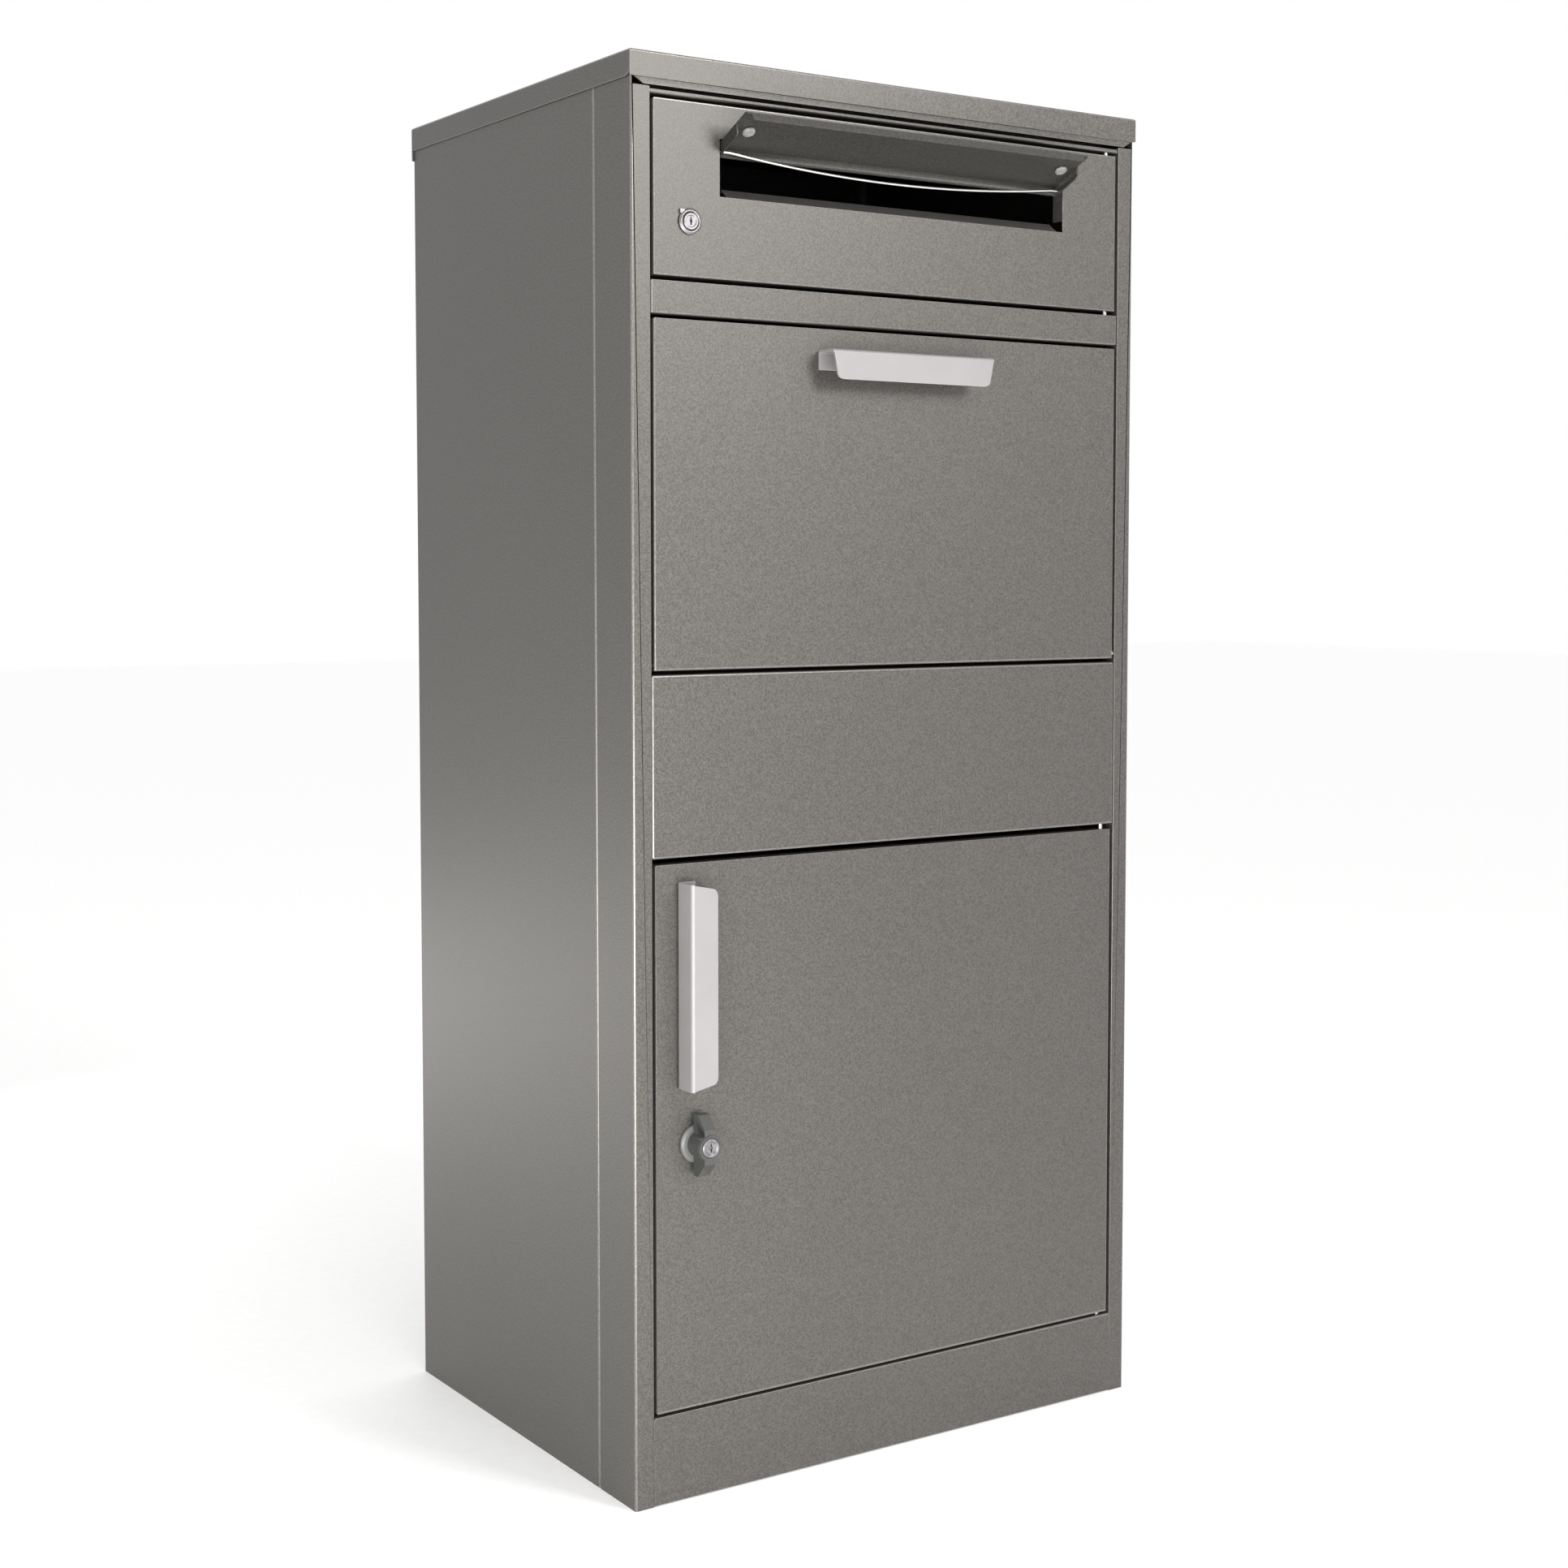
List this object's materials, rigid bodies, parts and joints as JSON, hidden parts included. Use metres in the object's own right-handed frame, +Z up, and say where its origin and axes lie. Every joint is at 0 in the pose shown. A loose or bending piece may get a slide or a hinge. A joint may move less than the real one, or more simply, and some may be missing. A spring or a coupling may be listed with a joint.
{
  "type": "parcel drop box",
  "caption": "Free-standing sheet-steel drop box with a flapped letter slot in a locked letter door, a tilting parcel hopper and a locked retrieval door.",
  "frame": {"origin": "floor level at the centre of the cabinet's footprint", "axes": "+Z up, front faces -Y, +X to the right of someone facing the front"},
  "size_m": [0.458, 0.3831, 1.016],
  "materials": {
    "grey_coat": "fine-textured warm grey powder coat, satin",
    "inner_coat": "the same powder coat, thinner inside the cabinet",
    "knob_coat": "smooth grey coat on die-cast metal",
    "white_coat": "smooth off-white powder coat, satin",
    "chrome": "bright plated steel",
    "zinc_steel": "zinc-plated steel, dull",
    "soft_pad": "translucent soft plastic pad"
  },
  "bodies": {
    "cabinet": {"top_cap": "grey_coat", "back_panel": "grey_coat", "base_pan": "inner_coat", "top_rail": "inner_coat", "upper_rail": "grey_coat", "middle_panel": "grey_coat", "plinth_panel": "grey_coat", "letter_shelf": "inner_coat", "chute_baffle": "inner_coat", "left_front_post": "grey_coat", "right_front_post": "grey_coat", "left_side_panel": "grey_coat", "right_side_panel": "grey_coat", "baffle_screw_left": "zinc_steel", "baffle_screw_right": "zinc_steel", "parcel_pin_left": "zinc_steel", "parcel_pin_right": "zinc_steel", "letter_pin_top": "zinc_steel", "letter_pin_bottom": "zinc_steel", "retrieval_pin_top": "zinc_steel", "retrieval_pin_bottom": "zinc_steel"},
    "letter_door": {"letter_door": "grey_coat", "letter_lock_housing": "chrome", "letter_lock_nut": "zinc_steel", "flap_hinge_wire": "chrome"},
    "letter_lock": {"letter_lock_plug": "chrome", "letter_lock_cam": "zinc_steel", "letter_cam_screw": "zinc_steel"},
    "letter_flap": {"letter_flap": "grey_coat", "flap_bumper_left": "soft_pad", "flap_bumper_right": "soft_pad"},
    "parcel_hopper": {"parcel_door": "grey_coat", "parcel_handle": "white_coat", "parcel_handle_screw_left": "zinc_steel", "parcel_handle_screw_right": "zinc_steel", "hopper_cheek_left": "inner_coat", "hopper_cheek_right": "inner_coat", "hopper_tray": "inner_coat"},
    "retrieval_door": {"retrieval_door": "grey_coat", "retrieval_handle": "white_coat", "retrieval_handle_screw_top": "zinc_steel", "retrieval_handle_screw_bottom": "zinc_steel", "latch_housing": "knob_coat", "latch_nut": "zinc_steel"},
    "wing_latch": {"wing_knob": "knob_coat", "knob_spindle": "zinc_steel", "latch_cam": "zinc_steel", "latch_cam_screw": "zinc_steel"},
    "key_cylinder": {"key_cylinder": "chrome"}
  },
  "joints": [
    {"name": "letter_door_hinge", "type": "hinge", "parent": "cabinet", "child": "letter_door", "pos_m": [0.2031, -0.1692, 0.925], "axis": [0, 0, 1], "range_deg": [0, 110]},
    {"name": "letter_lock_turn", "type": "hinge", "parent": "letter_door", "child": "letter_lock", "pos_m": [-0.181, -0.17, 0.9032], "axis": [0, 1, 0], "range_deg": [0, 90]},
    {"name": "letter_flap_hinge", "type": "hinge", "parent": "letter_door", "child": "letter_flap", "pos_m": [0, -0.1714, 0.9539], "axis": [1, 0, 0], "range_deg": [0, 110]},
    {"name": "parcel_hopper_tilt", "type": "hinge", "parent": "cabinet", "child": "parcel_hopper", "pos_m": [0, -0.17, 0.5965], "axis": [1, 0, 0], "range_deg": [0, 50]},
    {"name": "retrieval_door_hinge", "type": "hinge", "parent": "cabinet", "child": "retrieval_door", "pos_m": [0.2031, -0.1692, 0.261], "axis": [0, 0, 1], "range_deg": [0, 110]},
    {"name": "wing_latch_turn", "type": "hinge", "parent": "retrieval_door", "child": "wing_latch", "pos_m": [-0.1772, -0.18, 0.257], "axis": [0, 1, 0], "range_deg": [0, 90]},
    {"name": "key_cylinder_turn", "type": "hinge", "parent": "wing_latch", "child": "key_cylinder", "pos_m": [-0.1772, -0.19, 0.257], "axis": [0, 1, 0], "range_deg": [0, 90]}
  ]
}
